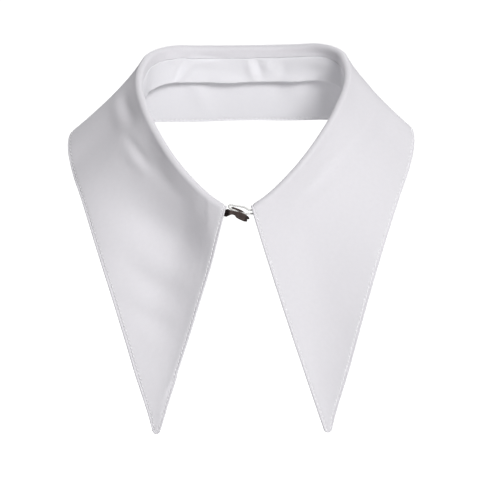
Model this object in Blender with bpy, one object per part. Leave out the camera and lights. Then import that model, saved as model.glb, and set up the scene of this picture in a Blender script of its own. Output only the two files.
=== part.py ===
"""A detachable shirt collar with long points, hooked closed at the front and open at the neck.

Everything is in metres once built, with +Z up. The wearer faces -Y, so the points hang at -Y, and
+X is the viewer's right. The origin is the middle of the neck, halfway up the folded edge.
The sizes below are in millimetres. Cloth is rigid here and keeps the shape that it is worn in.

A place on the collar is given as a tailor would give it: how far it lies along the fold from the
centre back, plus on the right and minus on the left, and how far across the cloth from the fold.
"""

from collections import namedtuple
from math import atan2
from math import cos
from math import hypot
from math import pi
from math import radians
from math import sin
from math import tan

import bmesh
import bpy
import numpy as np

MM = 0.001

# --- cloth ---------------------------------------------------------------------------------------
TOP_COLLAR_THICKNESS = 1.0
UNDER_COLLAR_THICKNESS = 1.0
STAND_THICKNESS = 1.6
SEAM_GAP = 0.3
FOLD_RADIUS = 2.4
TIP_RADIUS = 2.4

# --- stand ---------------------------------------------------------------------------------------
SEAM_SHARE = 0.25
STAND_LEAN = 5.0
STAND_SET_BACK = 9.0

# --- how the ring of the neck stands: its back sits a little to the right of the points ----------
RING_SHIFT = 3.5

# --- how a section of the fall is drawn ----------------------------------------------------------
BEND_REACH = 0.34
UNDER_START = 3.0
ROLL_STEPS = 4
FALL_STEPS = 9

# --- fastening -----------------------------------------------------------------------------------
FRONT_TILT = 20.0
HOOK_THICKNESS = 0.8
HOOK_DEPTH = 3.1
LOOP_DIAMETER = 1.2

# The hook is one strip of metal, one row for each place along it. right, up and out are from the
# middle between the two front ends of the fold. It starts under the left point, narrows to a
# waist, widens to a lobe, and turns back behind it as a tongue.
Strip = namedtuple("Strip", "right up out width")
HOOK = (
    Strip(-12.2, -4.1, -2.8, 3.2),
    Strip(-8.8, -3.9, -1.65, 3.3),
    Strip(-6.8, -3.7, -0.8, 4.4),
    Strip(-5.4, -3.5, 0.0, 3.4),
    Strip(-3.6, -3.6, 0.0, 2.2),
    Strip(-1.7, -4.1, 0.0, 2.6),
    Strip(-0.3, -4.8, 0.0, 4.0),
    Strip(2.9, -6.5, 0.0, 4.0),
    Strip(4.0, -7.0, -0.5, 3.6),
    Strip(4.4, -7.1, -1.3, 3.2),
    Strip(4.0, -6.7, -2.1, 2.8),
    Strip(3.0, -5.3, -2.6, 2.4),
    Strip(1.0, -3.2, -2.6, 2.2),
    Strip(-4.4, -1.0, -2.6, 2.0),
)

# The cord loop, from inside the right end of the fold, across to the left, and back through
# the hook to its second end under the right point.
Bend = namedtuple("Bend", "right up out")
LOOP = (
    Bend(10.4, -0.2, -0.9),
    Bend(8.7, -1.3, -0.6),
    Bend(7.3, -2.2, -0.3),
    Bend(5.8, -2.1, -0.1),
    Bend(4.2, -1.1, -0.1),
    Bend(2.0, -0.3, -0.4),
    Bend(-2.0, 0.3, -0.9),
    Bend(-4.5, 0.7, -1.4),
    Bend(-5.6, 0.3, -1.5),
    Bend(-5.3, -0.7, -1.4),
    Bend(-4.0, -1.7, -1.3),
    Bend(-1.5, -2.8, -1.3),
    Bend(1.2, -3.8, -1.3),
    Bend(3.4, -4.2, -1.3),
    Bend(6.0, -4.2, -1.6),
    Bend(8.5, -4.4, -2.2),
    Bend(10.5, -4.8, -2.8),
)

# One row for each section of the right half, from the centre back to the front end of the fold.
# along: distance along the fold. fold, edge: where the folded edge and the outer edge are.
# bend: degrees by which the cloth leaves the fold steeper than it goes on. stand: its height.
Section = namedtuple(
    "Section", "along fold_x fold_y fold_z edge_x edge_y edge_z bend stand"
)
SECTIONS = (
    Section(0, 0, 52.7, 30.8, 0, 65, -20.5, 5, 21),
    Section(28.5, 28.2, 50.4, 31.7, 31, 62, -20.0, 5, 21),
    Section(44, 42.9, 45.2, 33.6, 54, 55, -17.5, 6, 21),
    Section(54.5, 51.0, 38.6, 34.0, 73, 44.5, -14.5, 8, 21),
    Section(64.5, 56.7, 30.1, 33.6, 89, 31, -11.0, 10, 21),
    Section(74.5, 59.2, 20.7, 32.3, 99, 16, -8.5, 12, 20),
    Section(88.5, 61.2, 7.5, 28.3, 102, 0, -12.5, 14, 19),
    Section(101.5, 59.9, -4.0, 22.7, 98.7, -14, -24.0, 15, 18),
    Section(114, 56.4, -14.6, 17.1, 92.8, -29, -35.0, 19, 17),
    Section(132, 48.6, -27.3, 6.3, 82.3, -51, -59.0, 25, 15),
    Section(156, 36.1, -42.4, -7.1, 69.0, -71, -98.0, 29, 12),
    Section(169.5, 27.3, -48.9, -15.3, 62.0, -80, -121.0, 27, 10),
    Section(185.5, 15.9, -55.5, -24.2, 53.3, -89.5, -147.5, 15, 8),
    Section(197, 6.9, -59.3, -29.3, 49.8, -95.0, -162.5, 7, 7),
)


def both_halves(sections):
    """The rows from the left front end to the right one, as knots and a table of values."""
    right = np.array(sections, float)
    left = right[:0:-1].copy()
    mirrored = [Section._fields.index(name) for name in ("along", "fold_x", "edge_x")]
    left[:, mirrored] *= -1
    rows = np.vstack([left, right])
    return rows[:, 0], rows


KNOTS, ROWS = both_halves(SECTIONS)
SLOPES = np.gradient(ROWS, KNOTS, axis=0)
FRONT = KNOTS[-1]


def section_at(along):
    """The section at this place along the fold, on a smooth curve through the rows."""
    left = int(np.clip(np.searchsorted(KNOTS, along) - 1, 0, len(KNOTS) - 2))
    gap = KNOTS[left + 1] - KNOTS[left]
    t = (along - KNOTS[left]) / gap
    rise = t * t * (3 - 2 * t)
    start = t * (1 - t) ** 2 * gap
    end = t * t * (t - 1) * gap
    values = (
        (1 - rise) * ROWS[left]
        + rise * ROWS[left + 1]
        + start * SLOPES[left]
        + end * SLOPES[left + 1]
    )
    return Section(*values)


def unit(vector):
    return vector / np.linalg.norm(vector)


def fold_point(along):
    section = section_at(along)
    shift = RING_SHIFT * (1 - (along / FRONT) ** 2) ** 2
    return np.array([section.fold_x + shift, section.fold_y, section.fold_z])


def edge_point(along):
    section = section_at(along)
    return np.array([section.edge_x, section.edge_y, section.edge_z])


def fold_frame(along):
    """Unit vectors at the fold: along it, out from the neck, and up from it."""
    step = 0.5
    run = unit(fold_point(along + step) - fold_point(along - step))
    out = unit(np.cross((0, 0, 1), run))
    return run, out, np.cross(run, out)


def tip_cut(along):
    """How much the rounded tip of the point takes off the cloth at this section."""
    end = np.copysign(FRONT, along)
    tip = edge_point(end)
    front_edge = unit(tip - fold_point(end))
    outer_edge = unit(tip - edge_point(end * 0.99))
    half_angle = np.arccos(np.dot(front_edge, outer_edge)) / 2
    short = tip - edge_point(along)
    back = np.dot(short, front_edge)
    inward = np.linalg.norm(short - back * front_edge)
    if inward > TIP_RADIUS * (1 + cos(2 * half_angle)):
        return 0.0
    centre = TIP_RADIUS / tan(half_angle)
    return max(0.0, centre - (TIP_RADIUS**2 - (inward - TIP_RADIUS) ** 2) ** 0.5 - back)


def leaf_point(along, across):
    """A point on the outside of the fall. across is 0 on top of the fold and 1 at the edge.

    It goes round the fold as a roll and on to the edge as a curve that leaves the roll
    steeper than it ends, as cloth does that drops over the stand and then spreads.
    """
    run, out, up = fold_frame(along)
    fold = fold_point(along)
    chord = edge_point(along) - fold
    direction = unit(chord)
    edge = fold + chord - direction * tip_cut(along)
    sideways = np.dot(direction, run)
    square = hypot(np.dot(direction, out), np.dot(direction, up))
    flare = atan2(np.dot(direction, out), -np.dot(direction, up))
    start = flare - radians(section_at(along).bend)
    roll_length = FOLD_RADIUS * (pi / 2 - start)
    roll_share = roll_length / (roll_length + np.linalg.norm(chord))
    turned = min(across / roll_share, 1.0)
    angle = pi / 2 - turned * (pi / 2 - start)
    on_roll = (
        fold
        + FOLD_RADIUS * (cos(angle) * out + (sin(angle) - 1) * up)
        + run * sideways / square * roll_length * turned
    )
    if turned < 1:
        return on_roll
    t = (across - roll_share) / (1 - roll_share)
    leaving = square * (sin(start) * out - cos(start) * up) + sideways * run
    handle = on_roll + BEND_REACH * np.linalg.norm(edge - on_roll) * leaving
    return (1 - t) ** 2 * on_roll + 2 * t * (1 - t) * handle + t * t * edge


def stand_point(along, down):
    """A point on the neck side, so many millimetres below the fold."""
    run, out, up = fold_frame(along)
    lean = radians(STAND_LEAN)
    top = fold_point(along) - FOLD_RADIUS * (out + up)
    return top + down * (sin(lean) * out - cos(lean) * up)


def stand_outward(along):
    run, out, up = fold_frame(along)
    lean = radians(STAND_LEAN)
    return cos(lean) * out + sin(lean) * up


def seam_depth(along):
    """How far below the fold the fall and the stand are sewn together, on the neck side."""
    return SEAM_SHARE * section_at(along).stand


def leaf_normal(along, across):
    """Unit vector out of the cloth, on the outside of the fall."""
    step = 0.02
    low = max(across - step, 0.0)
    high = min(across + step, 1.0)
    down = leaf_point(along, high) - leaf_point(along, low)
    run = leaf_point(along + step, across) - leaf_point(along - step, across)
    return unit(np.cross(run, down))


def stations():
    """Places along the fold where sections are cut, closer together at the two points."""
    near_tip = FRONT - np.array([0.0, 0.7, 1.4, 2.2, 3.2, 5.0, 8.0])
    half = np.concatenate([np.linspace(0, FRONT - 12.0, 26), near_tip[::-1]])
    return np.concatenate([-half[:0:-1], half])


def across_steps():
    """Shares of the way from the fold to the edge: short steps round the roll, then even ones."""
    roll = np.linspace(0, 0.06, ROLL_STEPS)
    return np.concatenate([roll, np.linspace(roll[-1], 1, FALL_STEPS)[1:]])


def material(name, colour, roughness, metallic=0.0):
    made = bpy.data.materials.new(name)
    made.use_nodes = True
    shader = made.node_tree.nodes["Principled BSDF"]
    shader.inputs["Base Color"].default_value = (*colour, 1)
    shader.inputs["Roughness"].default_value = roughness
    shader.inputs["Metallic"].default_value = metallic
    return made


def add_object(name, data, finish):
    data.materials.append(finish)
    piece = bpy.data.objects.new(name, data)
    bpy.context.scene.collection.objects.link(piece)
    return piece


def loft_wall(name, outside, inside, finish):
    """A closed wall between two sheets of points, each a row of points for every section."""
    rings = np.concatenate([outside, inside[:, ::-1]], axis=1) * MM
    sheet = bmesh.new()
    made = [[sheet.verts.new(point) for point in ring] for ring in rings]
    size = len(made[0])
    for ring, following in zip(made, made[1:]):
        for k in range(size):
            after = (k + 1) % size
            sheet.faces.new((ring[k], following[k], following[after], ring[after]))
    for ring in (made[0], made[-1]):
        for k in range(size // 2 - 1):
            sheet.faces.new((ring[k], ring[k + 1], ring[size - 2 - k], ring[size - 1 - k]))
    bmesh.ops.recalc_face_normals(sheet, faces=sheet.faces)
    mesh = bpy.data.meshes.new(name)
    sheet.to_mesh(mesh)
    sheet.free()
    mesh.shade_smooth()
    mesh.set_sharp_from_angle(angle=radians(50))
    return add_object(name, mesh, finish)


def top_collar(places, finish):
    """The outer layer: from the seam on the neck side, over the fold, to the outer edge."""
    outside = []
    inside = []
    for along in places:
        outward = stand_outward(along)
        depths = np.linspace(seam_depth(along), 0, 3)
        face = [stand_point(along, depth) for depth in depths]
        back = [point + TOP_COLLAR_THICKNESS * outward for point in face]
        run, out, up = fold_frame(along)
        centre = fold_point(along) - FOLD_RADIUS * up
        for angle in np.radians((135, 112)):
            spoke = cos(angle) * out + sin(angle) * up
            face.append(centre + FOLD_RADIUS * spoke)
            back.append(centre + (FOLD_RADIUS - TOP_COLLAR_THICKNESS) * spoke)
        for across in across_steps():
            point = leaf_point(along, across)
            face.append(point)
            back.append(point - TOP_COLLAR_THICKNESS * leaf_normal(along, across))
        outside.append(face)
        inside.append(back)
    return loft_wall("top_collar", np.array(outside), np.array(inside), finish)


def under_collar(places, finish):
    """The inner layer of the fall: it lies under the top collar from the roll to the edge."""
    near = TOP_COLLAR_THICKNESS + SEAM_GAP
    far = near + UNDER_COLLAR_THICKNESS
    outside = []
    inside = []
    for along in places:
        chord = np.linalg.norm(edge_point(along) - fold_point(along))
        first = (FOLD_RADIUS * pi / 2 + UNDER_START) / chord
        face = []
        back = []
        for across in (first, *across_steps()[ROLL_STEPS:]):
            point = leaf_point(along, across)
            normal = leaf_normal(along, across)
            face.append(point - far * normal)
            back.append(point - near * normal)
        outside.append(face)
        inside.append(back)
    return loft_wall("under_collar", np.array(outside), np.array(inside), finish)


def stand(places, finish):
    """The band round the neck: a strip folded double, from the seam to its lower edge."""
    outside = []
    inside = []
    for along in places:
        height = section_at(along).stand
        outward = stand_outward(along)
        depths = np.linspace(height, seam_depth(along) + SEAM_GAP, 5)
        face = [stand_point(along, depth) for depth in depths]
        outside.append(face)
        inside.append([point + STAND_THICKNESS * outward for point in face])
    return loft_wall("stand", np.array(outside), np.array(inside), finish)


def front_frame():
    """The middle of the closure and its directions: right, up the chest, and out from it."""
    tilt = radians(FRONT_TILT)
    right = np.array((1.0, 0.0, 0.0))
    up = np.array((0.0, sin(tilt), cos(tilt)))
    out = np.array((0.0, -cos(tilt), sin(tilt)))
    middle = (fold_point(-FRONT) + fold_point(FRONT)) / 2
    return middle + (FOLD_RADIUS - HOOK_DEPTH) * out, np.array((right, up, out))


def hook(finish):
    """A strip of metal of changing width, through its rows, with its faces square to its path."""
    middle, axes = front_frame()
    rows = np.array(HOOK)
    path = rows[:, :3]
    ahead = np.gradient(path, axis=0)
    half_widths = rows[:, 3:] / 2
    across = np.cross((0, 0, 1), np.abs(ahead) * (1, -1, 0))
    across /= np.linalg.norm(across, axis=1, keepdims=True)
    through = np.cross(ahead, across)
    through *= HOOK_THICKNESS / 2 / np.linalg.norm(through, axis=1, keepdims=True)
    sides = np.stack([path + across * half_widths, path - across * half_widths], axis=1)
    face = middle + (sides + through[:, None]) @ axes
    back = middle + (sides - through[:, None]) @ axes
    return loft_wall("hook", face, back, finish)


def eye_loop(finish):
    """The cord: a round tube along a smooth curve through its bends."""
    middle, axes = front_frame()
    bends = np.array(LOOP)
    knots = np.arange(len(bends))
    slopes = np.gradient(bends, axis=0)
    curve = bpy.data.curves.new("eye_loop", "CURVE")
    curve.dimensions = "3D"
    curve.bevel_depth = LOOP_DIAMETER / 2 * MM
    curve.bevel_resolution = 2
    curve.use_fill_caps = True
    spline = curve.splines.new("POLY")
    places = np.linspace(0, knots[-1], 3 * knots[-1] + 1)
    spline.points.add(len(places) - 1)
    for point, place in zip(spline.points, places):
        left = min(int(place), knots[-1] - 1)
        t = place - left
        rise = t * t * (3 - 2 * t)
        bend = (
            (1 - rise) * bends[left]
            + rise * bends[left + 1]
            + t * (1 - t) ** 2 * slopes[left]
            + t * t * (t - 1) * slopes[left + 1]
        )
        point.co = (*((middle + bend @ axes) * MM), 1)
    return add_object("eye_loop", curve, finish)


def build():
    for old in list(bpy.data.objects):
        bpy.data.objects.remove(old, do_unlink=True)
    cotton = material("white_cotton", (0.86, 0.86, 0.88), 0.8)
    places = stations()
    top_collar(places, cotton)
    under_collar(places, cotton)
    stand(places[np.abs(places) <= FRONT - STAND_SET_BACK], cotton)
    hook(material("dark_metal", (0.07, 0.06, 0.06), 0.4, 1.0))
    eye_loop(material("white_cord", (0.86, 0.86, 0.86), 0.8))


build()
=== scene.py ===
# %% [markdown]
# # A detachable shirt collar
# A detachable collar is the collar of a shirt with no shirt to it. A maker cuts two leaves of
# cotton, sews them together along the outer edge, turns them right side out, and sews a narrow
# stand to them that goes round the neck. This one has very long points, and a small hook and loop
# closes it. The notebook builds it in that order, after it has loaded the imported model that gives
# the form.

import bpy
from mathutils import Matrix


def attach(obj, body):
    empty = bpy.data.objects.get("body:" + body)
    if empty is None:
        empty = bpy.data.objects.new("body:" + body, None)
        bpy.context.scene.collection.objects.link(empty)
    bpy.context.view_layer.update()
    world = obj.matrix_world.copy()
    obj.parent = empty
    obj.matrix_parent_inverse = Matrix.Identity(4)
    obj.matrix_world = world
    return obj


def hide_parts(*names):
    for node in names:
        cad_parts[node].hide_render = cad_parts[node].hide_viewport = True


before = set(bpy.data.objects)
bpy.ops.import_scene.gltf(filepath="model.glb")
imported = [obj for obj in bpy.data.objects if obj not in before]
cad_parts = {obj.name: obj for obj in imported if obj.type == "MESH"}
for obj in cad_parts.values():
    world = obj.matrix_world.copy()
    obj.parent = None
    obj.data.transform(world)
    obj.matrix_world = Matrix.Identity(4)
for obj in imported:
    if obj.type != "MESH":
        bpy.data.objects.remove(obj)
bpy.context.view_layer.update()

# %% What the notebook uses
from collections import namedtuple
from math import cos
from math import pi
from math import radians
from math import sin

import bmesh
import bpy
import numpy as np
from mathutils import Matrix
from mathutils import Vector

MM = 0.001
scene = bpy.context.scene

# %% [markdown]
# ## The camera
# A long lens keeps the far side of the neck almost as large as the near side. The camera looks
# down into the neck from the front, which shows the inside of the stand, and it is tilted a
# little. A place and a rotation matrix would say little to a reader, so it is given by two
# angles, a roll and a distance, and a short function turns these into axes.

# %% Place the camera
CAMERA_DISTANCE = 1.4
CAMERA_AZIMUTH = radians(2)
CAMERA_ELEVATION = radians(20)
CAMERA_ROLL = radians(1.4)
COLLAR_MIDDLE = Vector((0, 0, -0.020))
AIM_BELOW = 0.050
AIM_RIGHT = -0.0006
VIEW_WIDTH = 0.28235


def camera_axes(azimuth, elevation, roll):
    """The directions to the camera's right, upwards in its view, and back from what it looks at."""
    back = Vector((sin(azimuth) * cos(elevation), -cos(azimuth) * cos(elevation), sin(elevation)))
    level = Vector((cos(azimuth), sin(azimuth), 0))
    upright = back.cross(level)
    right = cos(roll) * level - sin(roll) * upright
    return right, back.cross(right), back


def add_camera():
    right, up, back = camera_axes(CAMERA_AZIMUTH, CAMERA_ELEVATION, CAMERA_ROLL)
    place = COLLAR_MIDDLE + CAMERA_DISTANCE * back
    to_aim = COLLAR_MIDDLE - AIM_BELOW * up + AIM_RIGHT * right - place
    behind = -to_aim.normalized()
    above = behind.cross(right).normalized()
    data = bpy.data.cameras.new("camera")
    data.lens = data.sensor_width * to_aim.length / VIEW_WIDTH
    data.clip_start = 0.05
    data.clip_end = 30
    made = bpy.data.objects.new("camera", data)
    scene.collection.objects.link(made)
    turned = Matrix((above.cross(behind), above, behind)).transposed()
    made.matrix_world = Matrix.Translation(place) @ turned.to_4x4()
    return made


scene.camera = add_camera()
print("lens:", round(scene.camera.data.lens, 1), "mm")

# %% [markdown]
# ## The form of the worn collar
# Cloth round a neck has no simple shape, but it can be told as a tailor would: at each place
# along the fold, where the folded edge is, where the outer edge is, how steeply the cloth leaves
# the fold and how high the stand is. The table has one row for each such section of the right
# half, in millimetres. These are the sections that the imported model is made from, so the cloth
# lies in it. A smooth curve through the rows gives every section in between, and the left half
# mirrors the right.

# %% The sections
Section = namedtuple(
    "Section", "along fold_x fold_y fold_z edge_x edge_y edge_z bend stand"
)
SECTIONS = (
    Section(0, 0, 52.7, 30.8, 0, 65, -20.5, 5, 21),
    Section(28.5, 28.2, 50.4, 31.7, 31, 62, -20.0, 5, 21),
    Section(44, 42.9, 45.2, 33.6, 54, 55, -17.5, 6, 21),
    Section(54.5, 51.0, 38.6, 34.0, 73, 44.5, -14.5, 8, 21),
    Section(64.5, 56.7, 30.1, 33.6, 89, 31, -11.0, 10, 21),
    Section(74.5, 59.2, 20.7, 32.3, 99, 16, -8.5, 12, 20),
    Section(88.5, 61.2, 7.5, 28.3, 102, 0, -12.5, 14, 19),
    Section(101.5, 59.9, -4.0, 22.7, 98.7, -14, -24.0, 15, 18),
    Section(114, 56.4, -14.6, 17.1, 92.8, -29, -35.0, 19, 17),
    Section(132, 48.6, -27.3, 6.3, 82.3, -51, -59.0, 25, 15),
    Section(156, 36.1, -42.4, -7.1, 69.0, -71, -98.0, 29, 12),
    Section(169.5, 27.3, -48.9, -15.3, 62.0, -80, -121.0, 27, 10),
    Section(185.5, 15.9, -55.5, -24.2, 53.3, -89.5, -147.5, 15, 8),
    Section(197, 6.9, -59.3, -29.3, 49.8, -95.0, -162.5, 7, 7),
)


def both_halves(sections):
    """The rows from the left front end to the right one, as knots and a table of values."""
    right = np.array(sections, float)
    left = right[:0:-1].copy()
    mirrored = [Section._fields.index(name) for name in ("along", "fold_x", "edge_x")]
    left[:, mirrored] *= -1
    rows = np.vstack([left, right])
    return rows[:, 0], rows


KNOTS, ROWS = both_halves(SECTIONS)
SLOPES = np.gradient(ROWS, KNOTS, axis=0)
FRONT = KNOTS[-1]


def sections_at(along):
    """The sections at these places along the fold, on a smooth curve through the rows."""
    left = np.clip(np.searchsorted(KNOTS, along) - 1, 0, len(KNOTS) - 2)
    gap = (KNOTS[left + 1] - KNOTS[left])[:, None]
    t = (along - KNOTS[left])[:, None] / gap
    rise = t * t * (3 - 2 * t)
    start = t * (1 - t) ** 2 * gap
    end = t * t * (t - 1) * gap
    values = (
        (1 - rise) * ROWS[left]
        + rise * ROWS[left + 1]
        + start * SLOPES[left]
        + end * SLOPES[left + 1]
    )
    return Section(*values.T)


print("sections:", len(ROWS), "fold length:", round(2 * FRONT), "mm")

# %% [markdown]
# ## The fold and the two sides of it
# At every place the cloth stands in a small frame of its own: along the fold, out from the neck,
# and up. The ring of the neck sits a few millimetres to the right of the points, as it does when
# a collar has been hooked by hand.

# %% The fold
RING_SHIFT = 3.5
FOLD_RADIUS = 2.4


def unit(vectors):
    return vectors / np.linalg.norm(vectors, axis=-1, keepdims=True)


def dot(first, second):
    return (first * second).sum(axis=-1, keepdims=True)


def fold_points(along):
    section = sections_at(along)
    shift = RING_SHIFT * (1 - (along / FRONT) ** 2) ** 2
    return np.stack([section.fold_x + shift, section.fold_y, section.fold_z], axis=-1)


def edge_points(along):
    section = sections_at(along)
    return np.stack([section.edge_x, section.edge_y, section.edge_z], axis=-1)


def fold_frames(along):
    """Unit vectors at the fold: along it, out from the neck, and up from it."""
    step = 0.5
    run = unit(fold_points(along + step) - fold_points(along - step))
    out = unit(np.cross((0, 0, 1), run))
    return run, out, np.cross(run, out)


# %% [markdown]
# ## The leaf as a surface
# The leaf rolls over the fold and then drops, steeper at first, because the stand pushes it out
# below. A quarter turn of a small roll, followed by one curve with three control points, gives
# that line with few numbers. The tip of each point is rounded, since a turned corner is never
# sharp.

# %% The leaf
TIP_RADIUS = 2.4
BEND_REACH = 0.34


def tip_cuts(along):
    """How much the rounded tip of the point takes off the cloth at these sections."""
    end = np.copysign(FRONT, along)
    tip = edge_points(end)
    front_edge = unit(tip - fold_points(end))
    just_before = 0.99 * end
    outer_edge = unit(tip - edge_points(just_before))
    half_angle = np.arccos(dot(front_edge, outer_edge)) / 2
    short = tip - edge_points(along)
    back = dot(short, front_edge)
    inward = np.linalg.norm(short - back * front_edge, axis=-1, keepdims=True)
    reached = inward < TIP_RADIUS * (1 + np.cos(2 * half_angle))
    arc = np.sqrt(np.clip(TIP_RADIUS**2 - (inward - TIP_RADIUS) ** 2, 0, None))
    cut = TIP_RADIUS / np.tan(half_angle) - arc - back
    return np.where(reached, np.clip(cut, 0, None), 0.0)


def leaf(along, across):
    """Points on the outside of the leaf. across is a share, 0 on the fold and 1 at the edge."""
    run, out, up = [axis[:, None] for axis in fold_frames(along)]
    fold = fold_points(along)[:, None]
    chord = edge_points(along)[:, None] - fold
    direction = unit(chord)
    edge = fold + chord - direction * tip_cuts(along)[:, None]
    sideways = dot(direction, run)
    square = np.hypot(dot(direction, out), dot(direction, up))
    flare = np.arctan2(dot(direction, out), -dot(direction, up))
    start = flare - np.radians(sections_at(along).bend)[:, None, None]
    roll_length = FOLD_RADIUS * (pi / 2 - start)
    roll_share = roll_length / (roll_length + np.linalg.norm(chord, axis=-1, keepdims=True))
    share = across[..., None]
    turned = np.minimum(share / roll_share, 1)
    angle = pi / 2 - turned * (pi / 2 - start)
    spoke = np.cos(angle) * out + (np.sin(angle) - 1) * up
    on_roll = fold + FOLD_RADIUS * spoke + run * sideways / square * roll_length * turned
    t = np.clip((share - roll_share) / (1 - roll_share), 0, 1)
    leaving = square * (np.sin(start) * out - np.cos(start) * up) + sideways * run
    reach = BEND_REACH * np.linalg.norm(edge - on_roll, axis=-1, keepdims=True)
    handle = on_roll + reach * leaving
    return (1 - t) ** 2 * on_roll + 2 * t * (1 - t) * handle + t * t * edge


# %% [markdown]
# ## Where the cloth is measured
# A mesh follows a crease only where it has points, and a collar's edge turns within a millimetre.
# So the places along the fold are spaced by how long the cloth is there, and they crowd at the
# front ends, in the steps of a quarter circle, for the rounded edge. The same steps go in from
# every edge.

# %% Stations along the fold
LAYER = 0.75
RIM_TURN = np.radians([0, 30, 55, 75, 90])
RIM_BEYOND = [1.05, 1.35, 1.7, 2.3]
RIM_STEPS = np.concatenate([LAYER * (1 - np.cos(RIM_TURN)), RIM_BEYOND])
FRONT_SLANT = 0.7
STATION_COUNT = 321
MEASURED_SHARE = 0.75
CLEAR_OF_RIM = 1.2


def stations():
    """Places along the fold, from the left front end to the right one."""
    even = np.linspace(-FRONT, FRONT, 1200)
    middle = leaf(even, np.full((len(even), 1), MEASURED_SHARE))[:, 0]
    walked = np.concatenate([[0], np.cumsum(np.linalg.norm(np.diff(middle, axis=0), axis=1))])
    rim = RIM_STEPS / FRONT_SLANT
    inner = FRONT - rim[-1] - CLEAR_OF_RIM
    low, high = np.interp([-inner, inner], even, walked)
    body = np.interp(np.linspace(low, high, STATION_COUNT), walked, even)
    return np.concatenate([rim - FRONT, body, FRONT - rim[::-1]])


ALONG = stations()
print("stations:", len(ALONG))

# %% [markdown]
# ## Creases
# Cotton that has been folded, packed and worn keeps soft marks. A simulation would drape the
# cloth afresh and lose the pressed shape, so each mark is given one by one where it belongs: a
# line on the cloth between two places, how far to its side it bows, how wide and how high it is.
# A height below zero is a trough. Both layers of the leaf get the same marks, because they are
# pressed together.

# %% Creases of the leaf
Crease = namedtuple("Crease", "from_along from_across to_along to_across bow width height")
LEAF_CREASES = (
    # left leaf: the long hollow below the roll, and the swell that the point hangs from
    Crease(-104, 0.92, -206, 0.22, -0.07, 18.0, -5.5),
    Crease(-108, 1.05, -212, 0.86, 0.03, 22.0, 3.0),
    # left leaf: folds that follow the roll
    Crease(-84, 0.30, -118, 0.22, 0.02, 4.5, -1.0),
    Crease(-80, 0.42, -118, 0.34, 0.02, 5.0, 0.9),
    Crease(-108, 0.44, -140, 0.30, -0.02, 3.0, -0.8),
    Crease(-114, 0.52, -140, 0.36, -0.02, 3.8, 0.7),
    Crease(-120, 0.27, -176, 0.15, 0.03, 5.0, -0.8),
    # left leaf: ripples across the long point
    Crease(-128, 0.66, -184, 0.26, 0.05, 8.0, -0.9),
    Crease(-134, 0.80, -190, 0.36, 0.05, 7.5, 1.1),
    Crease(-140, 0.86, -188, 0.48, 0.03, 6.0, -1.1),
    Crease(-146, 0.93, -187, 0.58, 0.03, 5.5, 0.8),
    Crease(-150, 0.98, -187, 0.67, -0.03, 6.0, -0.9),
    Crease(-160, 0.97, -188, 0.76, -0.02, 7.0, 0.4),
    # right leaf: one long soft crease beside the roll and a shorter one inside it
    Crease(97, 0.50, 172, 0.17, -0.02, 2.6, -0.75),
    Crease(95, 0.56, 170, 0.23, -0.02, 4.4, 0.8),
    Crease(122, 0.34, 156, 0.17, -0.02, 2.4, -0.28),
    Crease(120, 0.28, 160, 0.11, -0.02, 3.5, 0.25),
    # right leaf: the hollow that runs out to the corner
    Crease(98, 0.52, 91, 0.95, 0.0, 8.0, -1.3),
    Crease(108, 0.60, 104, 0.98, 0.0, 9.0, 0.6),
    # right leaf: faint ripples across the long point
    Crease(150, 0.97, 195, 0.60, 0.04, 7.0, -0.4),
    Crease(145, 0.92, 194, 0.50, 0.04, 8.0, 0.35),
    # behind the neck, where nothing but the fall is seen
    Crease(-38, 0.10, -20, 1.0, 0.05, 4.5, -0.9),
    Crease(10, 0.08, 24, 0.90, -0.05, 5.5, 0.8),
    Crease(38, 0.15, 54, 0.95, 0.04, 4.5, -0.9),
    Crease(-66, 0.15, -56, 0.90, 0.05, 5.5, 0.8),
    Crease(66, 0.25, 70, 0.85, -0.05, 5.5, 0.6),
)
CREASE_POINTS = 25
FADE_POWER = 1.5


def crease_line(crease, surface):
    """Points along a crease on that surface, as a curve that bows to one side."""
    t = np.linspace(0, 1, CREASE_POINTS)
    along = crease.from_along + (crease.to_along - crease.from_along) * t
    across = crease.from_across + (crease.to_across - crease.from_across) * t
    across = across + 4 * crease.bow * t * (1 - t)
    return surface(along, across[:, None])[:, 0]


def crease_heights(points, creases, surface):
    """How far the creases push each point of a sheet out of its smooth surface."""
    total = np.zeros(points.shape[:2])
    for crease in creases:
        line = crease_line(crease, surface)
        nearest = np.full(points.shape[:2], np.inf)
        place = np.zeros(points.shape[:2])
        for k, (start, end) in enumerate(zip(line, line[1:])):
            step = end - start
            t = np.clip((points - start) @ step / (step @ step), 0, 1)
            away = np.linalg.norm(points - start - t[..., None] * step, axis=-1)
            closer = away < nearest
            nearest = np.where(closer, away, nearest)
            place = np.where(closer, (k + t) / (CREASE_POINTS - 1), place)
        fade = np.sin(pi * place) ** FADE_POWER
        total += crease.height * fade * np.exp(-((nearest / crease.width) ** 2))
    return total


# %% [markdown]
# ## From a table of points to a shell of cloth
# Each layer of cloth is a thin closed shell. Blender can make one with a Solidify modifier, but
# the edge of a turned collar is rounded on one side only, so the two faces need shapes of their
# own. The way here is to start from a flat grid, give it thickness with the solidify operator,
# and then carry every vertex from its place in the flat slab to its place on the worn collar.

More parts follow.
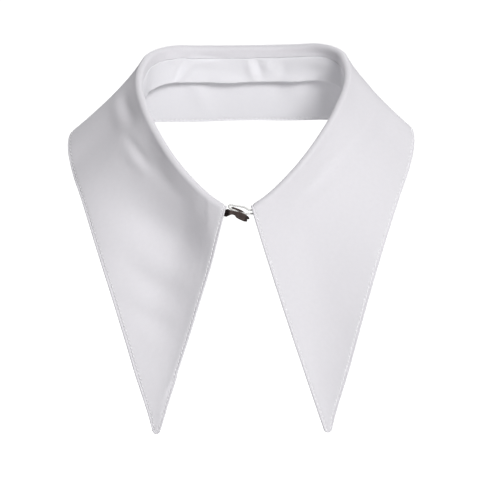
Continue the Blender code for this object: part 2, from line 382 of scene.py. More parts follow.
# %% Cloth shells
def cloth_shell(name, outside, inside, flat):
    """A shell whose two faces pass through these points, with its cut as its UV map, in metres."""
    rows, columns = outside.shape[:2]
    slab_thickness = 0.1
    slab = bmesh.new()
    bmesh.ops.create_grid(slab, x_segments=rows - 1, y_segments=columns - 1, size=0.5)
    bmesh.ops.solidify(slab, geom=slab.faces[:], thickness=slab_thickness)
    mesh = bpy.data.meshes.new(name)
    slab.to_mesh(mesh)
    slab.free()
    place = np.empty(len(mesh.vertices) * 3)
    mesh.vertices.foreach_get("co", place)
    place = place.reshape(-1, 3)
    row = np.rint((place[:, 0] + 0.5) * (rows - 1)).astype(int)
    column = np.rint((place[:, 1] + 0.5) * (columns - 1)).astype(int)
    is_outside = np.abs(place[:, 2]) < slab_thickness / 2
    worn = np.where(is_outside[:, None], outside[row, column], inside[row, column]) * MM
    mesh.vertices.foreach_set("co", worn.ravel())
    corner = np.empty(len(mesh.loops), int)
    mesh.loops.foreach_get("vertex_index", corner)
    cut = mesh.uv_layers.new(name="cut")
    cut.uv.foreach_set("vector", (flat[row, column] * MM)[corner].ravel())
    mesh.update()
    return add_piece(name, mesh)


def add_piece(name, mesh):
    """Turns the faces outwards, shades them smooth and puts the mesh in the scene."""
    check = bmesh.new()
    check.from_mesh(mesh)
    bmesh.ops.recalc_face_normals(check, faces=check.faces)
    volume = check.calc_volume()
    check.to_mesh(mesh)
    check.free()
    mesh.shade_smooth()
    piece = bpy.data.objects.new(name, mesh)
    scene.collection.objects.link(piece)
    mesh.calc_loop_triangles()
    print(f"{name}: {len(mesh.loop_triangles)} triangles, {1e9 * volume:.0f} mm3")
    return piece


def normals_of(points):
    """Unit normals of a sheet of points, outwards on the outside of the leaf."""
    return unit(np.cross(np.gradient(points, axis=0), np.gradient(points, axis=1)))


def rounding(gap, radius=LAYER, least=0.04):
    """How far a face drops this close to an edge, as a quarter of a circle."""
    inside = np.clip(radius - gap, 0, radius)
    return np.minimum(radius - np.sqrt(radius**2 - inside**2), radius - least)


# %% [markdown]
# ## The top collar
# The top collar is the leaf that shows. Its cloth starts in the seam inside the neck, climbs to
# the fold, rolls over it and drops to the outer edge. The grid runs the same way: rows at the
# stations, columns from the seam to the edge. The outer edge and both front edges turn in to meet
# the under collar, and a line of stitching presses a shallow groove beside them.

# %% Surface of the leaf
STITCH_GAP = 1.35
GROOVE_DEPTH = 0.36
GROOVE_WIDTH = 0.6
LEAF_COLUMNS = 72
ROLL_SHARE = 0.055
ROLL_COLUMNS = 7
LEAST_SLANT = 0.3


def shares_across(along, columns):
    """Shares from the fold to the edge at each station, close together where the cloth turns."""
    edge = leaf(along, np.ones((len(along), 1)))[:, 0]
    reach = edge - fold_points(along)
    slant = np.linalg.norm(np.cross(unit(reach), unit(np.gradient(edge, axis=0))), axis=1)
    length = np.linalg.norm(reach, axis=1) * np.clip(slant, LEAST_SLANT, 1)
    rim = 1 - RIM_STEPS[::-1] / length[:, None]
    roll = np.linspace(0, ROLL_SHARE, ROLL_COLUMNS)
    even = ROLL_SHARE + (rim[:, :1] - ROLL_SHARE) * np.linspace(0, 1, columns)[1:-1]
    return np.hstack([np.tile(roll, (len(along), 1)), even, rim])


def gap_to_edges(points):
    """Distance of each point of the leaf from the outer edge or a front edge, the nearer one."""
    outer = points[:, -1:]
    tangent = unit(np.gradient(outer, axis=0))
    gap = np.linalg.norm(np.cross(points - outer, tangent), axis=-1)
    for front in (points[:1], points[-1:]):
        tangent = unit(np.gradient(front, axis=1))
        gap = np.minimum(gap, np.linalg.norm(np.cross(points - front, tangent), axis=-1))
    return gap


ACROSS = shares_across(ALONG, LEAF_COLUMNS)
LEAF = leaf(ALONG, ACROSS)
LEAF_RISE = crease_heights(LEAF, LEAF_CREASES, leaf)
print("leaf grid:", LEAF.shape[:2])
print("creases reach", LEAF_RISE.min().round(2), "to", LEAF_RISE.max().round(2), "mm")

# %% [markdown]
# ## The neck side
# Inside the neck the top collar goes down from the fold as far as the seam, a quarter of the
# stand's height. Below the seam the stand goes on in the same surface, which leans out a little.

# %% Surface of the neck side
SEAM_SHARE = 0.25
STAND_LEAN = radians(5)
SEAM_GAP = 0.12


def neck_side(along, down, outward=0.0):
    """Points on the neck side, these many millimetres below the fold and behind the face."""
    run, out, up = [axis[:, None] for axis in fold_frames(along)]
    top = fold_points(along)[:, None] - FOLD_RADIUS * (out + up)
    fall = sin(STAND_LEAN) * out - cos(STAND_LEAN) * up
    behind = cos(STAND_LEAN) * out + sin(STAND_LEAN) * up
    return top + down[..., None] * fall + np.asarray(outward)[..., None] * behind


def roll_inside(along, degrees):
    """Points on the neck half of the roll. 180 degrees faces the neck and 90 faces up."""
    run, out, up = [axis[:, None] for axis in fold_frames(along)]
    centre = fold_points(along)[:, None] - FOLD_RADIUS * up
    angle = np.radians(degrees)[None, :, None]
    return centre + FOLD_RADIUS * (np.cos(angle) * out + np.sin(angle) * up)


# %% Cut of the leaf
def third_corner(first, second, from_first, from_second):
    """The corner of a flat triangle whose other two corners and three sides are known."""
    side = second - first
    span = np.linalg.norm(side)
    ahead = (from_first**2 - from_second**2 + span**2) / (2 * span)
    away = np.sqrt(max(from_first**2 - ahead**2, 0))
    return first + (ahead * side + away * np.array([-side[1], side[0]])) / span


def laid_flat(fold, edge):
    """The fold line and the outer edge of the cut, unfolded one section after another."""
    flat_fold = [np.zeros(2)]
    flat_edge = [np.array([0.0, -np.linalg.norm(edge[0] - fold[0])])]
    for k in range(1, len(fold)):
        from_fold = np.linalg.norm(fold[k] - fold[k - 1])
        from_edge = np.linalg.norm(fold[k] - edge[k - 1])
        flat_fold.append(third_corner(flat_fold[-1], flat_edge[-1], from_fold, from_edge))
        from_fold = np.linalg.norm(edge[k] - fold[k])
        from_edge = np.linalg.norm(edge[k] - edge[k - 1])
        flat_edge.append(third_corner(flat_fold[-1], flat_edge[-1], from_fold, from_edge))
    flat_fold = np.array(flat_fold)
    flat_edge = np.array(flat_edge)
    middle = len(fold) // 2
    grain = unit(flat_edge[middle] - flat_fold[middle])
    turn = np.array([[-grain[1], grain[0]], [-grain[0], -grain[1]]])
    origin = flat_fold[middle].copy()
    return (flat_fold - origin) @ turn.T, (flat_edge - origin) @ turn.T


FLAT_FOLD, FLAT_EDGE = laid_flat(LEAF[:, 0], LEAF[:, -1])
FLAT_DOWN = unit(FLAT_EDGE - FLAT_FOLD)

# %% [markdown]
# The stand is creased where the neck has pressed it, and the seam carries the creases into the
# top collar above it. They are placed in the same way, with the distance below the fold in
# millimetres.

# %% Creases of the neck side
NECK_CREASES = (
    Crease(-44, 23.0, -34, 1.5, 0.0, 2.0, -1.5),
    Crease(-41, 23.0, -30, 1.0, 0.0, 2.8, 1.4),
    Crease(-38, 3.5, -8, 4.5, 0.0, 1.8, -0.8),
    Crease(-36, 7.5, -14, 7.0, 0.0, 3.0, 0.7),
    Crease(-52, 2.5, -40, 8.0, 0.5, 2.4, 0.8),
    Crease(-1, 2.0, 4, 22.0, 0.0, 2.8, 1.2),
    Crease(4, 2.5, 9, 21.0, 0.0, 2.2, -1.1),
    Crease(11, 5.0, 13, 15.0, 0.0, 2.4, 0.7),
    Crease(22, 6.0, 20, 20.0, 0.0, 3.6, -0.7),
    Crease(22, 3.0, 62, 3.5, 0.4, 2.2, -1.0),
    Crease(26, 8.5, 60, 9.5, 0.4, 3.2, 0.9),
    Crease(-24, 20.5, 2, 20.5, 0.0, 4.0, 1.4),
    Crease(18, 20.5, 34, 20.5, 0.0, 3.5, 0.9),
    Crease(-78, 5.0, -84, 18.0, 0.0, 3.0, 0.7),
    Crease(80, 6.0, 88, 17.0, 0.0, 3.0, -0.7),
    Crease(-128, 5.0, -122, 14.0, 0.0, 3.0, -0.6),
    Crease(126, 4.0, 121, 14.0, 0.0, 3.2, 0.6),
    Crease(-160, 3.0, -156, 11.0, 0.0, 2.6, 0.6),
    Crease(158, 3.0, 163, 10.0, 0.0, 2.6, -0.6),
)

# %% [markdown]
# Now the neck side and the leaf are put side by side in one grid, and that grid becomes the
# shell.

# %% Make the top collar
def groove(gap):
    """The shallow furrow that a line of stitching pulls beside an edge."""
    return GROOVE_DEPTH * np.exp(-(((gap - STITCH_GAP) / GROOVE_WIDTH) ** 2))


SEAM_DEPTH = SEAM_SHARE * sections_at(ALONG).stand
SEAM_ROUND = 0.45
LEG_COLUMNS = 7
SEAM_TURN = np.radians([0, 35, 60, 90])
seam_steps = SEAM_ROUND * (1 - np.cos(SEAM_TURN))
leg_down = np.hstack([
    SEAM_DEPTH[:, None] - seam_steps,
    (SEAM_DEPTH[:, None] - SEAM_ROUND) * np.linspace(1, 0, LEG_COLUMNS)[1:],
])
leg = neck_side(ALONG, leg_down)
ROLL_DEGREES = np.array([165, 150, 135, 120, 105])
top_sheet = np.hstack([leg, roll_inside(ALONG, ROLL_DEGREES), LEAF])
top_rise = np.hstack([
    crease_heights(leg, NECK_CREASES, neck_side),
    np.zeros((len(ALONG), len(ROLL_DEGREES))),
    LEAF_RISE,
])
top_gap = gap_to_edges(top_sheet)
drop = rounding(top_gap) + groove(top_gap)
drop[:, : leg.shape[1]] += rounding(SEAM_DEPTH[:, None] - leg_down, SEAM_ROUND, 0.02)
beyond_fold = np.hstack([
    -(FOLD_RADIUS * pi / 2 + leg_down),
    np.tile(-FOLD_RADIUS * np.radians(ROLL_DEGREES - 90), (len(ALONG), 1)),
    ACROSS * np.linalg.norm(FLAT_EDGE - FLAT_FOLD, axis=1)[:, None],
])
top_flat = FLAT_FOLD[:, None] + FLAT_DOWN[:, None] * beyond_fold[..., None]
normal = normals_of(top_sheet)
TOP_FACE = top_sheet + (top_rise - drop)[..., None] * normal
top_back = top_sheet + (top_rise - LAYER)[..., None] * normal
top_collar = cloth_shell("top_collar_cloth", TOP_FACE, top_back, top_flat)

# %% [markdown]
# ## The under collar
# The under collar is cut like the leaf, a little smaller. It lies against the back of the top
# collar from just below the roll to the edges, where the two are sewn, turned and pressed. So it
# is the same surface moved inwards by one layer, and the rounding is on its other face. Together
# the two rounded faces make the full edge of a turned seam, with the seam itself as a fine line
# in the middle.

# %% Make the under collar
UNDER_START = 3.0
LAYER_GAP = 0.06
chord = np.linalg.norm(LEAF[:, -1] - LEAF[:, 0], axis=1)[:, None]
first = (FOLD_RADIUS * pi / 2 + UNDER_START) / chord
from_roll = ACROSS[:, ROLL_COLUMNS - 1 :]
under_across = first + (from_roll - from_roll[:, :1]) * (1 - first) / (1 - from_roll[:, :1])
under_sheet = leaf(ALONG, under_across)
under_rise = crease_heights(under_sheet, LEAF_CREASES, leaf)
under_gap = gap_to_edges(under_sheet)
normal = normals_of(under_sheet)
near = LAYER + LAYER_GAP
far = near + LAYER - rounding(under_gap) - groove(under_gap)
UNDER_FACE = under_sheet + (under_rise - far)[..., None] * normal
under_back = under_sheet + (under_rise - near)[..., None] * normal
under_flat = FLAT_FOLD[:, None] + FLAT_DOWN[:, None] * (under_across * chord)[..., None]
under_collar = cloth_shell("under_collar_cloth", under_back, UNDER_FACE, under_flat)

# %% [markdown]
# ## The stand
# The stand is a long strip folded double, with the fold at its lower edge and both raw edges
# caught in the seam above. One grid goes down the neck face, round the fold and up the other
# face, and gets the thickness of the cloth inwards, so that the strip is really folded and not
# just thick.

# %% Make the stand
STAND_LAYER = 0.6
STAND_BEND = 0.68
STAND_SET_BACK = 9.0
STAND_STATIONS = 301
FACE_COLUMNS = 19
BACK_COLUMNS = 12
TURN_COLUMNS = 10
stand_along = np.linspace(STAND_SET_BACK - FRONT, FRONT - STAND_SET_BACK, STAND_STATIONS)
stand_height = sections_at(stand_along).stand[:, None]
seam_down = SEAM_SHARE * stand_height + SEAM_GAP
straight = stand_height - STAND_BEND
face_steps = np.linspace(0, 1, FACE_COLUMNS)[1:]
face_down = np.hstack([
    seam_down + seam_steps,
    seam_down + SEAM_ROUND + (straight - seam_down - SEAM_ROUND) * face_steps,
])
back_down = straight + (seam_down - straight) * np.linspace(0, 1, BACK_COLUMNS)
TURN = np.radians(np.linspace(0, 180, TURN_COLUMNS)[1:-1])


def folded_strip(radius):
    """Depths below the fold and distances behind the face, on a strip bent at this radius."""
    turn = np.tile(TURN, (STAND_STATIONS, 1))
    down = np.hstack([face_down, straight + radius * np.sin(turn), back_down])
    behind = np.hstack([
        np.full(face_down.shape, STAND_BEND - radius),
        STAND_BEND - radius * np.cos(turn),
        np.full(back_down.shape, STAND_BEND + radius),
    ])
    return down, behind


stand_down, stand_behind = folded_strip(STAND_BEND)
lining_down, lining_behind = folded_strip(STAND_BEND - STAND_LAYER)
face = neck_side(stand_along, np.minimum(stand_down, stand_height))
rise = crease_heights(face, NECK_CREASES, neck_side)
at_seam = np.zeros(rise.shape)
at_seam[:, : face_down.shape[1]] = rounding(face_down - seam_down, SEAM_ROUND, 0.02)
stand_outer = neck_side(stand_along, stand_down, stand_behind - rise + at_seam)
stand_inner = neck_side(stand_along, lining_down, lining_behind - rise)
turn_length = pi * STAND_BEND
strip_length = np.hstack([
    face_down - seam_down,
    straight - seam_down + turn_length * TURN / pi,
    straight - seam_down + turn_length + straight - back_down,
])
stand_run = np.linalg.norm(np.diff(fold_points(stand_along), axis=0), axis=1)
walked = np.concatenate([[0], np.cumsum(stand_run)])[:, None]
stand_flat = np.stack([np.broadcast_to(walked, strip_length.shape), strip_length], axis=-1)
stand = cloth_shell("stand_cloth", stand_outer, stand_inner, stand_flat)

# %% [markdown]
# ## Stitching along the edges
# A line of stitches holds the turned edges flat. Each stitch is a short slanting bead of thread
# in the groove. A texture could draw them, but beads catch light and shade of their own. They
# stand along a line that goes down the left front edge, round the outer edge and up the right
# front edge, once on each side of the leaf, as a machine's two threads lie.

# %% Make the stitches
STITCH_PITCH = 2.6
STITCH_LENGTH = 2.0
THREAD_WIDTH = 0.7
THREAD_FLATNESS = 0.45
STITCH_SLANT = radians(14)
RIM_ROW = 6


def stitch_line(face, normal):
    """Points on a face along the groove, with the face's normals there."""
    row, first, edge = RIM_ROW, len(ROLL_DEGREES), face.shape[1] - 1 - RIM_ROW
    last = face.shape[0] - 1 - row
    parts = [
        np.s_[row, first:edge],
        np.s_[row:last, edge],
        np.s_[last, edge:first:-1],
    ]
    return np.vstack([face[p] for p in parts]), np.vstack([normal[p] for p in parts])


def make_bead():
    """One stitch: a flattened bead of thread that lies almost along X."""
    bead = bmesh.new()
    height = THREAD_WIDTH * THREAD_FLATNESS
    size = Matrix.Diagonal((STITCH_LENGTH / 2, THREAD_WIDTH / 2, height, 1))
    slant = Matrix.Rotation(STITCH_SLANT, 4, "Z")
    bmesh.ops.create_uvsphere(bead, u_segments=8, v_segments=6, radius=MM, matrix=slant @ size)
    mesh = bpy.data.meshes.new("bead")
    bead.to_mesh(mesh)
    bead.free()
    return mesh


def add_stitches(thread, bead, line, outward):
    """Beads of thread at an even pitch along a line."""
    step = np.linalg.norm(np.diff(line, axis=0), axis=1)
    walked = np.concatenate([[0], np.cumsum(step)])
    places = np.arange(STITCH_PITCH / 2, walked[-1], STITCH_PITCH)
    ahead = unit(np.gradient(line, axis=0))
    for place in places:
        centre, tangent, normal = [
            Vector([np.interp(place, walked, table[:, k]) for k in range(3)])
            for table in (line, ahead, outward)
        ]
        up = normal.normalized()
        along = (tangent - tangent.dot(up) * up).normalized()
        lying = Matrix((along, up.cross(along), up)).transposed().to_4x4()
        standing = Matrix.Translation(centre * MM) @ lying
        stitch = bead.copy()
        stitch.transform(standing)
        thread.from_mesh(stitch)
        bpy.data.meshes.remove(stitch)
    return len(places)


def make_stitching():
    thread = bmesh.new()
    bead = make_bead()
    over = TOP_FACE[:, leg.shape[1] :]
    count = add_stitches(thread, bead, *stitch_line(over, normals_of(over)))
    count += add_stitches(thread, bead, *stitch_line(UNDER_FACE, -normals_of(UNDER_FACE)))
    bpy.data.meshes.remove(bead)
    mesh = bpy.data.meshes.new("edge_stitching")
    thread.to_mesh(mesh)
    thread.free()
    print("stitches:", count)
    return add_piece("edge_stitching", mesh)


edge_stitching = make_stitching()

# %% [markdown]
# ## The hook
# The fastener is a flat strip of metal, pressed out of sheet and turned back on itself. It starts
# under the left point, narrows to a waist, widens to a lobe that tilts down, and goes back behind
# as a tongue that holds the loop. The rows say where the middle of the strip is and how wide it
# is, to the right, up and out from the middle of the closure.

# %% The frame of the closure
FRONT_TILT = radians(20)
HOOK_DEPTH = 3.1
FRONT_AXES = np.array([
    (1.0, 0.0, 0.0),
    (0.0, sin(FRONT_TILT), cos(FRONT_TILT)),
    (0.0, -cos(FRONT_TILT), sin(FRONT_TILT)),
])
fold_ends = fold_points(np.array([-FRONT, FRONT]))
FRONT_MIDDLE = fold_ends.mean(axis=0) + (FOLD_RADIUS - HOOK_DEPTH) * FRONT_AXES[2]


def smooth_rows(rows, places):
    """Rows of a table at places between them, on a smooth curve through all the rows."""
    slopes = np.gradient(rows, axis=0)
    left = np.clip(places.astype(int), 0, len(rows) - 2)
    t = (places - left)[:, None]
    rise = t * t * (3 - 2 * t)
    return (
        (1 - rise) * rows[left]
        + rise * rows[left + 1]
        + t * (1 - t) ** 2 * slopes[left]
        + t * t * (t - 1) * slopes[left + 1]
    )


# %% Make the hook
HOOK_THICKNESS = 0.8
HOOK_ROUND = 0.22
HOOK_CORNER = 0.6
Strip = namedtuple("Strip", "right up out width")
HOOK = (
    Strip(-12.2, -4.1, -2.8, 3.2),
    Strip(-8.8, -3.9, -1.65, 3.3),
    Strip(-6.8, -3.7, -0.8, 4.4),
    Strip(-5.4, -3.5, 0.0, 3.4),
    Strip(-3.6, -3.6, 0.0, 2.2),
    Strip(-1.7, -4.1, 0.0, 2.6),
    Strip(-0.3, -4.8, 0.0, 4.0),
    Strip(2.9, -6.5, 0.0, 4.0),
    Strip(4.0, -7.0, -0.5, 3.6),
    Strip(4.4, -7.1, -1.3, 3.2),
    Strip(4.0, -6.7, -2.1, 2.8),
    Strip(3.0, -5.3, -2.6, 2.4),
    Strip(1.0, -3.2, -2.6, 2.2),
    Strip(-4.4, -1.0, -2.6, 2.0),
)
HOOK_ROWS = 105
HOOK_COLUMNS = np.sin(np.radians(np.linspace(-90, 90, 15)))


def make_hook():
    rows = smooth_rows(np.array(HOOK), np.linspace(0, len(HOOK) - 1, HOOK_ROWS))
    path = rows[:, :3]
    ahead = np.gradient(path, axis=0)
    across = unit(np.cross((0, 0, 1), np.abs(ahead) * (1, -1, 0)))
    through = unit(np.cross(ahead, across))
    walked = np.concatenate([[0], np.cumsum(np.linalg.norm(np.diff(path, axis=0), axis=1))])
    from_end = np.minimum(walked, walked[-1] - walked)
    half_width = rows[:, 3] / 2 - rounding(from_end, HOOK_CORNER, 0.15)
    middle = path[:, None] + (half_width[:, None] * HOOK_COLUMNS)[..., None] * across[:, None]
    gap = np.minimum(half_width[:, None] * (1 - np.abs(HOOK_COLUMNS)), from_end[:, None])
    half_thickness = HOOK_THICKNESS / 2 - rounding(gap, HOOK_ROUND, 0.03)
    out = half_thickness[..., None] * through[:, None]
    flat = np.stack([np.broadcast_to(walked[:, None], gap.shape), gap], axis=-1)
    face = FRONT_MIDDLE + (middle + out) @ FRONT_AXES
    back = FRONT_MIDDLE + (middle - out) @ FRONT_AXES
    return cloth_shell("hook_metal", face, back, flat)


hook = make_hook()

# %% [markdown]
# ## The loop
# A loop of white cord, sewn under the right point, is what the hook catches. The cord is laid
# from three strands. A plain tube with a twisted texture would look smooth at its outline, so
# each strand is a thin tube of its own that winds round the cord's line.

# %% Make the loop
LOOP_DIAMETER = 1.2
STRANDS = 3
STRAND_RADIUS = 0.31
LAY_LENGTH = 3.4
LOOP_STEPS = 241
Bend = namedtuple("Bend", "right up out")
LOOP = (
    Bend(10.4, -0.2, -0.9),
    Bend(8.7, -1.3, -0.6),
    Bend(7.3, -2.2, -0.3),
    Bend(5.8, -2.1, -0.1),
    Bend(4.2, -1.1, -0.1),
    Bend(2.0, -0.3, -0.4),
    Bend(-2.0, 0.3, -0.9),
    Bend(-4.5, 0.7, -1.4),
    Bend(-5.6, 0.3, -1.5),
    Bend(-5.3, -0.7, -1.4),
    Bend(-4.0, -1.7, -1.3),
    Bend(-1.5, -2.8, -1.3),
    Bend(1.2, -3.8, -1.3),
    Bend(3.4, -4.2, -1.3),
    Bend(6.0, -4.2, -1.6),
    Bend(8.5, -4.4, -2.2),
    Bend(10.5, -4.8, -2.8),
)


def make_loop():
    bends = smooth_rows(np.array(LOOP), np.linspace(0, len(LOOP) - 1, LOOP_STEPS))
    line = FRONT_MIDDLE + bends @ FRONT_AXES
    ahead = unit(np.gradient(line, axis=0))
    side = unit(np.cross(ahead, FRONT_AXES[2]))
    over = np.cross(side, ahead)
    walked = np.concatenate([[0], np.cumsum(np.linalg.norm(np.diff(line, axis=0), axis=1))])
    lay_radius = LOOP_DIAMETER / 2 - STRAND_RADIUS
    curve = bpy.data.curves.new("eye_loop_cord", "CURVE")
    curve.dimensions = "3D"
    curve.bevel_depth = STRAND_RADIUS * MM
    curve.bevel_resolution = 2
    curve.use_fill_caps = True
    for strand in range(STRANDS):
        turn = 2 * pi * (walked[:, None] / LAY_LENGTH + strand / STRANDS)
        centre = line + lay_radius * (np.cos(turn) * side + np.sin(turn) * over)
        spline = curve.splines.new("POLY")
        spline.points.add(len(centre) - 1)
        for point, place in zip(spline.points, centre):
            point.co = (*(place * MM), 1)
    tube = bpy.data.objects.new("cord_tube", curve)
    scene.collection.objects.link(tube)
    graph = bpy.context.evaluated_depsgraph_get()
    mesh = bpy.data.meshes.new_from_object(tube.evaluated_get(graph))
    bpy.data.objects.remove(tube)
    mesh.materials.clear()
    mesh.name = "eye_loop_cord"
    print("loop cord:", round(walked[-1], 1), "mm long")
    return add_piece("eye_loop_cord", mesh)


eye_loop = make_loop()

# %% [markdown]
# ## Materials
# A colour picked on a screen is an sRGB value, and Blender computes in linear light, so one
# function turns the one into the other. Another adds a node with its settings and links.

# %% Helpers for materials
def linear(code):
    """A linear colour from an sRGB hex code."""
    parts = [int(code[k : k + 2], 16) / 255 for k in (1, 3, 5)]
    return [c / 12.92 if c <= 0.04045 else ((c + 0.055) / 1.055) ** 2.4 for c in parts] + [1.0]


def add_node(tree, kind, settings=(), **links):
    """A node of a kind, with its settings, its input values and the sockets linked to it."""
    node = tree.nodes.new(kind)
    for name, value in dict(settings).items():
        setattr(node, name, value)
    for name, value in links.items():
        socket = node.inputs[int(name[1:]) if name[1:].isdigit() else name.replace("_", " ")]
        if isinstance(value, bpy.types.NodeSocket):
            tree.links.new(value, socket)
        else:
            socket.default_value = value
    return node


def new_material(name):
    """A material and its shader, with nothing linked yet."""
    made = bpy.data.materials.new(name)
    made.use_nodes = True
    return made, made.node_tree, made.node_tree.nodes["Principled BSDF"]


# %% [markdown]
# ### Cotton poplin
# Poplin is cotton in a plain weave, fine and tight, bleached and pressed. It scatters light in
# all directions, with a faint sheen from the pressed threads, and it never looks quite even. Real
# poplin has about 50 threads to the centimetre, which is 0.2 mm each, too fine to show from here,
# so the weave is drawn at 0.4 mm. It follows the cut through the UV map, which is in metres, so
# it runs straight at the centre back and turns across the points, as in a collar that is cut in
# one piece. The stand and the under collar get a lighter copy of the same cotton. This is painted
# light, which brightens the inside of the neck more than the lamps do.

# %% Make the poplin
THREAD_SPACING = 0.4


def make_poplin(name, colour, shade):
    poplin, tree, shader = new_material(name)
    cut = add_node(tree, "ShaderNodeTexCoord").outputs["UV"]
    # a wave texture has one wave in each pi / 10 of its input at a scale of 1
    waves = pi / (10 * THREAD_SPACING * MM)
    warp = add_node(
        tree, "ShaderNodeTexWave", {"bands_direction": "X"},
        Vector=cut, Scale=waves, Distortion=0.6, Detail=1.0, Detail_Scale=0.4,
    ).outputs["Fac"]
    weft = add_node(
        tree, "ShaderNodeTexWave", {"bands_direction": "Y"},
        Vector=cut, Scale=waves, Distortion=0.6, Detail=1.0, Detail_Scale=0.4,
    ).outputs["Fac"]
    weave = add_node(tree, "ShaderNodeMath", {"operation": "MULTIPLY"}, _0=warp, _1=weft)
    slubs = add_node(
        tree, "ShaderNodeTexNoise", Vector=cut, Scale=420.0, Detail=3.0, Roughness=0.6
    ).outputs["Fac"]
    pressed = add_node(
        tree, "ShaderNodeTexNoise", Vector=cut, Scale=55.0, Detail=2.0, Roughness=0.5
    ).outputs["Fac"]
    puckers = add_node(
        tree, "ShaderNodeBump", Strength=0.35, Distance=0.6 * MM, Height=pressed
    ).outputs["Normal"]
    threads = add_node(
        tree, "ShaderNodeBump", Strength=0.35, Distance=0.06 * MM, Height=weave.outputs[0],
        Normal=puckers,
    ).outputs["Normal"]
    uneven = add_node(
        tree, "ShaderNodeBump", Strength=0.25, Distance=0.08 * MM, Height=slubs, Normal=threads
    ).outputs["Normal"]
    tint = add_node(
        tree, "ShaderNodeMix", {"data_type": "RGBA"}, Factor=slubs,
        _6=linear(shade), _7=linear(colour),
    ).outputs[2]
    tree.links.new(tint, shader.inputs["Base Color"])
    tree.links.new(uneven, shader.inputs["Normal"])
    shader.inputs["Roughness"].default_value = 0.78
    shader.inputs["IOR"].default_value = 1.5
    shader.inputs["Specular IOR Level"].default_value = 0.3
    shader.inputs["Sheen Weight"].default_value = 0.15
    shader.inputs["Sheen Roughness"].default_value = 0.45
    return poplin


LEAF_POPLIN = make_poplin("bleached_cotton_poplin", "#F3F1F5", "#EDEBEF")
# a lighter copy of the same cotton for the stand and the under collar: painted light for the inside
# of the neck, not a different cloth
PAINTED_LIGHT_POPLIN = make_poplin("cotton_poplin_painted_light", "#FBFAFD", "#F6F5F9")

# %% [markdown]
# ### Mercerised thread
# Sewing thread is cotton as well, but twisted hard and mercerised, which makes it smoother. It is
# a little whiter than the cloth: partly the thread's own white, partly a painted highlight that
# makes the stitches show as light strokes. Its twist is a fine slanting ripple of about 0.5 mm.

# %% Make the thread
TWIST_SPACING = 0.5


def make_thread(name, colour, twist):
    thread, tree, shader = new_material(name)
    place = add_node(tree, "ShaderNodeTexCoord").outputs["Object"]
    ripple = add_node(
        tree, "ShaderNodeTexWave", {"bands_direction": "DIAGONAL"},
        Vector=place, Scale=pi / (10 * twist * MM), Distortion=1.5, Detail=1.0,
    ).outputs["Fac"]
    fibres = add_node(
        tree, "ShaderNodeTexNoise", Vector=place, Scale=2500.0, Detail=2.0
    ).outputs["Fac"]
    ridge = add_node(
        tree, "ShaderNodeBump", Strength=0.5, Distance=0.08 * MM, Height=ripple
    ).outputs["Normal"]
    fuzz = add_node(
        tree, "ShaderNodeBump", Strength=0.3, Distance=0.03 * MM, Height=fibres, Normal=ridge
    ).outputs["Normal"]
    tree.links.new(fuzz, shader.inputs["Normal"])
    shader.inputs["Base Color"].default_value = linear(colour)
    shader.inputs["Roughness"].default_value = 0.6
    shader.inputs["Sheen Weight"].default_value = 0.2
    return thread


# the sewing thread's colour is partly its own white and partly a painted highlight on the stitches
SEWING_THREAD = make_thread("cotton_thread_painted_highlight", "#FCFCFD", TWIST_SPACING)
LOOP_CORD = make_thread("laid_cotton_cord", "#EFEFEC", TWIST_SPACING)

# %% [markdown]
# ### Oxidised brass
# Small hooks are stamped from brass and oxidised dark, so that they don't show on dark cloth. The
# coat is thin, brown-black and half matt, and it rubs a little lighter in places.

# %% Make the brass
def make_brass():
    brass, tree, shader = new_material("oxidised_stamped_brass")
    place = add_node(tree, "ShaderNodeTexCoord").outputs["Object"]
    rubbed = add_node(
        tree, "ShaderNodeTexNoise", Vector=place, Scale=700.0, Detail=4.0, Roughness=0.6
    ).outputs["Fac"]
    colour = add_node(
        tree, "ShaderNodeMix", {"data_type": "RGBA"}, Factor=rubbed,
        _6=linear("#3A3332"), _7=linear("#5E5350"),
    ).outputs[2]
    grain = add_node(
        tree, "ShaderNodeBump", Strength=0.3, Distance=0.04 * MM, Height=rubbed
    ).outputs["Normal"]
    tree.links.new(colour, shader.inputs["Base Color"])
    tree.links.new(grain, shader.inputs["Normal"])
    shader.inputs["Metallic"].default_value = 1.0
    shader.inputs["Roughness"].default_value = 0.5
    return brass


BRASS = make_brass()

# %% [markdown]
# ## Put the pieces on the frame
# Nothing on the collar moves on its own, so every piece rides on the one body. Each stands for
# the plain solid of the same form, takes its finish from a material slot, and each sheet of cloth
# says how large it was cut.

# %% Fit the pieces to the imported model
PIECES = (
    (top_collar, "top_collar", "white_cotton", LEAF_POPLIN),
    # the under collar and the stand wear the lighter copy of the cotton, which is painted light
    (under_collar, "under_collar", "white_cotton", PAINTED_LIGHT_POPLIN),
    (stand, "stand", "white_cotton", PAINTED_LIGHT_POPLIN),
    (edge_stitching, None, "white_cotton", SEWING_THREAD),
    (hook, "hook", "dark_metal", BRASS),
    (eye_loop, "eye_loop", "white_cord", LOOP_CORD),
)
for piece, node, slot, material in PIECES:
    piece.data.materials.append(material)
    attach(piece, "root")
    if node:
        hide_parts(node)

# %% [markdown]
# ## Floor and light
# The collar stands in a bright, plain studio, on nothing, because a neck would hold it. The floor
# is far below and almost white. It glows for the camera only, since a floor that bright would
# light the cloth from below and take all its shade away. The key light, to the right, above and
# in front, gives the left leaf its shade. A large weak light in front fills the neck, another
# stands for what the floor sends back, and two behind light the outside of the back and the top
# of the fold.

# %% Floor
FLOOR_BELOW = 0.9
FLOOR_RADIUS = 14.0
FLOOR_GLOW = 0.95


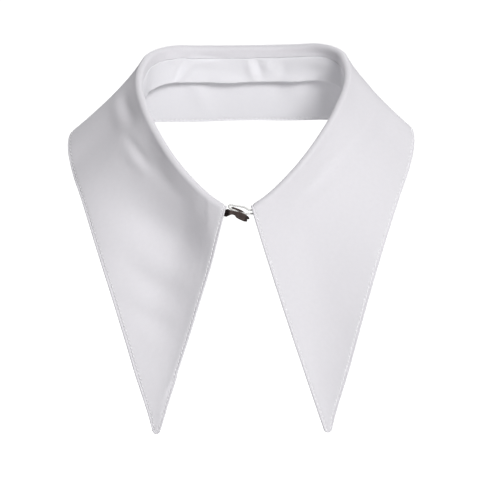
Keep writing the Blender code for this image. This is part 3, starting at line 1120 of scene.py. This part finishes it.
def add_floor():
    disc = bmesh.new()
    bmesh.ops.create_circle(disc, cap_ends=True, segments=96, radius=FLOOR_RADIUS)
    bmesh.ops.translate(disc, verts=disc.verts, vec=(0, 0, -FLOOR_BELOW))
    mesh = bpy.data.meshes.new("floor")
    disc.to_mesh(mesh)
    disc.free()
    floor = bpy.data.objects.new("floor", mesh)
    scene.collection.objects.link(floor)
    paper, tree, shader = new_material("white_studio_paper")
    shader.inputs["Base Color"].default_value = linear("#F8F8F8")
    shader.inputs["Roughness"].default_value = 0.9
    shader.inputs["Emission Color"].default_value = (1, 1, 1, 1)
    seen = add_node(tree, "ShaderNodeLightPath").outputs["Is Camera Ray"]
    glow = add_node(tree, "ShaderNodeMath", {"operation": "MULTIPLY"}, _0=seen, _1=FLOOR_GLOW)
    tree.links.new(glow.outputs[0], shader.inputs["Emission Strength"])
    mesh.materials.append(paper)


add_floor()

# %% Lights
Lamp = namedtuple("Lamp", "name azimuth elevation distance size watts")
LAMPS = (
    Lamp("key", 27, 36, 1.6, 0.45, 17.6),
    Lamp("front", -4, 4, 1.6, 0.9, 1.6),
    Lamp("bounce", 60, -30, 1.6, 0.8, 1.8),
    Lamp("back left", -150, 28, 1.6, 0.6, 8.0),
    Lamp("back right", 150, 28, 1.6, 0.6, 8.0),
)


def add_lamp(lamp):
    back = Vector((
        sin(radians(lamp.azimuth)) * cos(radians(lamp.elevation)),
        -cos(radians(lamp.azimuth)) * cos(radians(lamp.elevation)),
        sin(radians(lamp.elevation)),
    ))
    data = bpy.data.lights.new(lamp.name, "AREA")
    data.shape = "DISK"
    data.size = lamp.size
    data.energy = lamp.watts
    made = bpy.data.objects.new(lamp.name, data)
    made.location = COLLAR_MIDDLE + lamp.distance * back
    made.rotation_mode = "QUATERNION"
    made.rotation_quaternion = back.to_track_quat("Z", "Y")
    scene.collection.objects.link(made)


for lamp in LAMPS:
    add_lamp(lamp)

# %% The studio's own brightness
SKY = 0.13


def add_sky():
    world = bpy.data.worlds.new("studio")
    world.use_nodes = True
    tree = world.node_tree
    tree.nodes.clear()
    seen = add_node(tree, "ShaderNodeBackground", Color=(1, 1, 1, 1), Strength=1.0)
    lit = add_node(tree, "ShaderNodeBackground", Color=linear("#FAFAFF"), Strength=SKY)
    which = add_node(tree, "ShaderNodeLightPath").outputs["Is Camera Ray"]
    both = add_node(
        tree, "ShaderNodeMixShader", _0=which, _1=lit.outputs[0], _2=seen.outputs[0]
    )
    add_node(tree, "ShaderNodeOutputWorld", Surface=both.outputs[0])
    scene.world = world


add_sky()
scene.view_settings.view_transform = "Standard"
scene.view_settings.look = "None"
